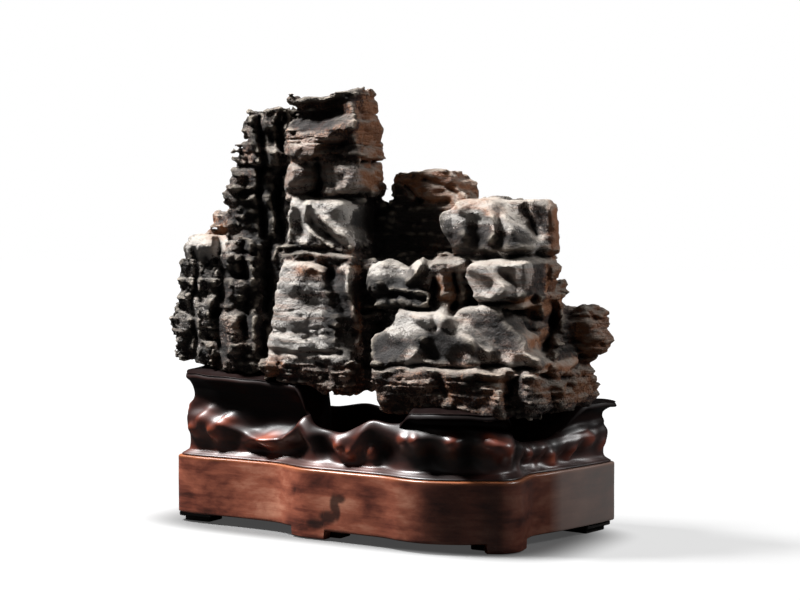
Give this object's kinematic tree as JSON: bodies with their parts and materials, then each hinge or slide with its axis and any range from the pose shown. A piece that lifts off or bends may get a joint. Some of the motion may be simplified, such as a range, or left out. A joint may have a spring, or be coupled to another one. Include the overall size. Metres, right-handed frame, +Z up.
{
  "type": "scholars rock on carved stand",
  "caption": "Weathered scholar's rock, a jointed tower with a stepped lower wing, resting in a carved rockwork wooden stand on a lobed plinth with small block feet",
  "frame": {"origin": "middle of the object's footprint, on the surface it stands on", "axes": "+X right along the long side as seen from the front, +Y to the back, +Z up"},
  "size_m": [0.315, 0.1532, 0.302],
  "materials": {
    "weathered_stone": "weathered, matt with a dull sheen on the smooth faces",
    "carved_hardwood": "dark stained, waxed and polished to a gloss",
    "plinth_hardwood": "waxed satin, figured grain",
    "black_foot_wood": "black lacquered, satin"
  },
  "bodies": {
    "root": {"stone": "weathered_stone", "stand_top": "carved_hardwood", "plinth": "plinth_hardwood", "foot_front_left": "black_foot_wood", "foot_front_middle": "black_foot_wood", "foot_front_right": "black_foot_wood", "foot_back_right": "black_foot_wood", "foot_back_middle": "black_foot_wood", "foot_back_left": "black_foot_wood"}
  },
  "joints": []
}
